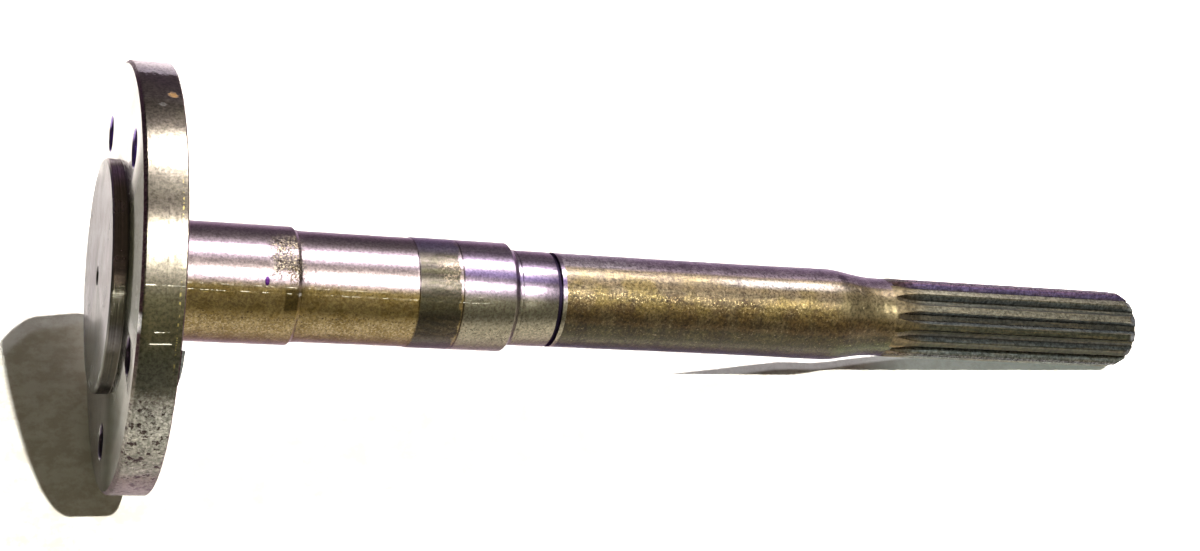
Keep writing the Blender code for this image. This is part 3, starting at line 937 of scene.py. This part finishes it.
def rimFinish():
    look, g = rimLook, Ground("flangeRim")
    cloud, grain = g.noise(0.10, 4, 0.6), g.noise(0.7, 4, 0.65)
    ragged = g.angle + (grain - 0.5) * 8
    low = ramp(g.angle + (grain - 0.5) * 12, 72, 79)
    # From the top down, painted as the reflections fall: steel with a darker top and a white strip
    # at its far edge, dark shoulders, olive, then pale and deeper steel below and a tan bottom
    colour = blendColours(ramp(g.angle, -2, -9), look["steel"], look["top"])
    shoulders = between(ragged, -6, 5, 2) + between(g.angle, 23, 30, 2)
    colour = shadeColours(shoulders, colour, look["shoulderShade"])
    colour = blendColours(ramp(ragged, -20, -22), colour, look["skyline"])
    olive = blendColours(ramp(g.angle, 57, 65), look["olive"], look["oliveLow"])
    colour = blendColours(between(g.angle, 46, 75, 4) * 0.85, colour, olive)
    lowTone = blendColours(ramp(g.angle, 82, 98), look["pale"], look["deep"])
    colour = blendColours(low, colour, lowTone)
    colour = blendColours(ramp(g.angle, 101, 107) * 0.9, colour, look["tan"])
    colour = blendColours(ramp(cloud, 0.42, 0.68, 0.0, 0.25), colour, look["olive"])
    colour = blendColours(low * ramp(grain, 0.38, 0.60, 0.75, 0.0), colour, look["grey"])
    colour = blendColours(low * ramp(grain, 0.55, 0.75, 0.0, 0.5), colour, look["fleck"])
    # Pits low down, in clusters
    clusters = ramp(g.noise(0.13, 2), 0.42, 0.58)
    pits = ramp(g.noise(0.42, 3, 0.6) + clusters * 0.05, 0.60, 0.64) * low
    fine = ramp(g.noise(1.2, 3, 0.6) + clusters * 0.06, 0.60, 0.66) * low
    colour = blendColours(pits * 0.9 + fine * 0.6, colour, look["pit"])
    # Single marks: the rust spot, a pale fleck beside it and a broken line of painted golden glints
    rust = g.patch(-3.6, -9.1, 1.9, 1.25, 1.5, 1.5)
    colour = blendColours(rust, colour, look["rust"])
    fleck = g.patch(-8.0, -4.6, 1.5, 0.7, 1.2, 1.2)
    colour = blendColours(fleck * 0.4, colour, look["fleck"])
    goldGlint = between(g.station, -2.4, -1.9, 0.2) * between(g.angle, 18, 66, 4)
    goldGlint = goldGlint * ramp(g.noise(0.9, 3), 0.52, 0.58)
    colour = blendColours(goldGlint * 0.7, colour, look["goldGlint"])
    # Dark, worn edges, a painted highlight on the front one, and the burr
    worn = ramp(g.noise(0.9, 3, 0.7), 0.36, 0.52, 0.55, 1.0)
    chamfer = ramp(g.station, *look["frontChamfer"])
    front = chamfer * ramp(g.angle, 60, 76, 0.95, 0.15) * worn
    back = ramp(g.station, -0.6, -0.3) * worn * 0.85
    colour = blendColours(front + back, colour, look["edge"])
    colour = blendColours(chamfer * between(g.angle, 53, 57, 1), colour, look["gleam"])
    colour = blendColours(ramp(g.station, 0.05, 0.3), colour, look["burr"])
    colour = g.grainy(colour, 0.8, 0.42)
    roughness = 0.28 + ramp(cloud, 0.4, 0.7, 0.0, 0.03)
    roughness = roughness + low * 0.07 + rust * 0.4 + (front + back) * 0.15
    heights = [(g.marks(g.station, 8.0, 1), 0.030), (g.noise(1.1, 3, 0.6), 0.008),
               (grain * low, 0.05), (pits * -1.0, 0.20), (fine * -1.0, 0.08)]
    # Two strips of oil: the upper mirrors the high slit, the lower the rim's own two
    highFilm = between(g.angle, 44.5, 47.5, 0.7) * ramp(g.station, -4, -7, 0.2, 1.0)
    lowFilm = between(g.angle, 55.8, 61.2, 0.7)
    film = ramp(g.noise(0.45, 3, 0.6, along=0.3), 0.42, 0.48, 0.0, 0.6) * (1 - front) * (1 - back)
    film = film * (highFilm + lowFilm)
    return g.finish(look, colour, roughness, heights, 1 - rust * 0.9, film)


# Where the finishes meet: stations in mm, and how far the rim's finish reaches inwards
borders = {
    "splines": 323.7,
    "shank": 165.9,
    "journals": 4.2,
    "rimFront": -15.99,
    "rimDepth": 1.45,
}


def zoneOf(face):
    station, radius = face.center.x, math.hypot(face.center.y, face.center.z)
    if station > borders["splines"] * mm:
        return "splines"
    if station > borders["shank"] * mm:
        return "shank"
    if station > borders["journals"] * mm:
        return "journals"
    rim = (shaft["flangeRadius"] - borders["rimDepth"]) * mm
    return "rim" if radius > rim and station > borders["rimFront"] * mm else "faces"


def dressShaft(piece):
    finishes = {
        "journals": journalFinish(),
        "shank": forgedFinish(),
        "splines": splineFinish(),
        "faces": faceFinish(),
        "rim": rimFinish(),
    }
    for finish in finishes.values():
        piece.data.materials.append(finish)
    zones = list(finishes)
    for face in piece.data.polygons:
        face.material_index = zones.index(zoneOf(face))
    print("finishes made:", ", ".join(zones))


# The bench, in metres: pale and finely mottled, dim beyond what the camera sees of it

benchLook = {
    "size": 9,
    "pale": (0.84, 0.83, 0.75),
    "dim": (0.11, 0.105, 0.10),
    "mottled": (0.66, 0.62, 0.54),
    "mottle": {"Scale": 90.0, "Detail": 5.0, "Roughness": 0.7},
    "farFade": (0.40, 0.85),
    "nearFade": (-0.40, -0.02),
    # Painted light: the bench glows faintly in the shadows
    "glow": (0.17, 0.19, 0.17),
    "unlit": (0.0, 0.0, 0.0),
    "glowStart": (0.105, 0.14),
    "glowEnd": (0.32, 0.24),
    "glowSides": (-0.05, 0.05, 0.02),
    "shadowGlow": (0.018, 0.017, 0.010),
    "shadowGlowStart": (-0.18, -0.22),
    "roughness": 0.6,
}


def addBench():
    look = benchLook
    clearSelection()
    bpy.ops.mesh.primitive_plane_add(size=look["size"], location=(0, 0, 0))
    bench = bpy.context.object
    bench.name = "bench"
    material = bpy.data.materials.new("paleBench")
    material.use_nodes = True
    tree = material.node_tree
    shader = tree.nodes["Principled BSDF"]
    start = Wire(tree)
    where = start.node("ShaderNodeTexCoord", output="Object")
    along, across = partOf(where, "X"), partOf(where, "Y")
    mottle = start.node("ShaderNodeTexNoise", {"Vector": where, **look["mottle"]})
    colour = blendColours(ramp(mottle, 0.40, 0.62), look["pale"], look["mottled"])
    colour = blendColours(ramp(across, *look["farFade"]), colour, look["dim"])
    colour = blendColours(ramp(across, *look["nearFade"]), look["dim"], colour)
    tree.links.new(colour.out, shader.inputs["Base Color"])
    # Painted light: the bench glows in the toothed end's shadow, and faintly in the shadow beside the
    # flange
    close = ramp(along, *look["glowStart"]) * ramp(along, *look["glowEnd"])
    close = close * between(across, *look["glowSides"])
    glow = blendColours(close, look["unlit"], look["glow"])
    glow = blendColours(ramp(along, *look["shadowGlowStart"]), glow, look["shadowGlow"])
    tree.links.new(glow.out, shader.inputs["Emission Color"])
    shader.inputs["Emission Strength"].default_value = 1.0
    shader.inputs["Roughness"].default_value = look["roughness"]
    bench.data.materials.append(material)


# Each ceiling lamp is a pair, placed in metres: one gives the light and its shadows, and its
# twin a little further back gives the shine, as a reflector behind the bulb does

lamps = {
    "farLamp": {"place": (0.880, 0.841, 2.364), "size": 0.035, "power": 150, "colour": (1.0, 0.96, 1.0)},
    "nearLamp": {"place": (0.393, -1.004, 1.774), "size": 0.03, "power": 92, "colour": (1.0, 0.98, 0.94)},
    "farShine": {"place": (0.865, 1.099, 2.259), "size": 0.10, "power": 150, "colour": (1.0, 0.97, 1.0)},
    "nearShine": {"place": (0.406, -0.830, 1.861), "size": 0.09, "power": 92, "colour": (1.0, 0.99, 0.96)},
}


def addLight(name, lamp, shape, turn):
    clearSelection()
    bpy.ops.object.light_add(type="AREA", location=lamp["place"], rotation=turn.to_euler())
    light = bpy.context.object
    light.name = name
    light.data.shape = shape
    light.data.energy = lamp["power"]
    return light


def addLamps():
    for name, lamp in lamps.items():
        turn = (-Vector(lamp["place"])).to_track_quat("-Z", "Y")
        light = addLight(name, lamp, "DISK", turn)
        light.data.size = lamp["size"]
        light.data.color = lamp["colour"]
        light.visible_glossy = not name.endswith("Lamp")
        light.visible_diffuse = name.endswith("Lamp")


# Thin slits of daylight, parallel to the shaft: they draw the fine glint lines on the oiled steel

slitLook = {"width": 0.015, "colour": (1.0, 0.94, 0.74)}

slits = {
    "highSlit": {"place": (0.429, -1.925, 1.788), "length": 1.486, "power": 3.2},
    "lowSlit": {"place": (0.361, -2.261, 1.341), "length": 1.486, "power": 3.2},
    "rimSlitA": {"place": (0.273, -2.535, 0.899), "length": 0.260, "power": 0.6},
    "rimSlitB": {"place": (0.231, -2.612, 0.630), "length": 0.400, "power": 0.8},
}


def addSlits():
    along = Vector((math.cos(lie["tilt"]), 0, -math.sin(lie["tilt"])))
    for name, slit in slits.items():
        away = Vector(slit["place"]) - lie["station0"]
        away = (away - along * away.dot(along)).normalized()
        turn = Matrix((along, away.cross(along), away)).transposed()
        light = addLight(name, slit, "RECTANGLE", turn)
        light.data.size = slit["length"]
        light.data.size_y = slitLook["width"]
        light.data.color = slitLook["colour"]
        light.visible_diffuse = False


# The room all around, which fills the shadows and shows in the steel: near, far and above

room = {
    "far": (0.24, 0.18, 0.28),
    "near": (0.22, 0.205, 0.12),
    "above": (0.088, 0.079, 0.052),
    "depth": (-0.5, 0.5),
    "climb": (0.05, 0.65),
}


def addRoom():
    world = bpy.data.worlds.new("room")
    bpy.context.scene.world = world
    world.use_nodes = True
    tree = world.node_tree
    start = Wire(tree)
    towards = start.node("ShaderNodeTexCoord", output="Generated")
    farness, height = partOf(towards, "Y"), partOf(towards, "Z")
    walls = blendColours(ramp(farness, *room["depth"]), room["near"], room["far"])
    colour = blendColours(ramp(height, *room["climb"]), walls, room["above"])
    tree.links.new(colour.out, tree.nodes["Background"].inputs["Color"])


# The camera, fitted to the photograph: metres, degrees, and millimetres for lens and sensor

view = {
    "place": (-0.23156, -0.54392, 0.65291),
    "turn": (44.418, -8.445, -12.149),
    "lens": 58.54,
    "sensor": 36,
    "nearest": 0.01,
}


def addCamera():
    clearSelection()
    turn = [math.radians(angle) for angle in view["turn"]]
    bpy.ops.object.camera_add(location=view["place"], rotation=turn)
    camera = bpy.context.object
    camera.name = "camera"
    camera.data.lens = view["lens"]
    camera.data.sensor_width = view["sensor"]
    camera.data.clip_start = view["nearest"]
    bpy.context.scene.camera = camera


addCamera()
addBench()
addLamps()
addSlits()
addRoom()
bpy.context.scene.view_settings.view_transform = "Standard"
print("bench, lamps and camera ready")

axleShaft = buildShaft()
dressShaft(axleShaft)
layDown(axleShaft)
pickOnly(axleShaft)
bpy.ops.object.shade_smooth_by_angle(angle=math.radians(30))
print("shaft finished:", len(axleShaft.data.polygons), "faces")

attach(axleShaft, "root")
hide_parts("axle_shaft")
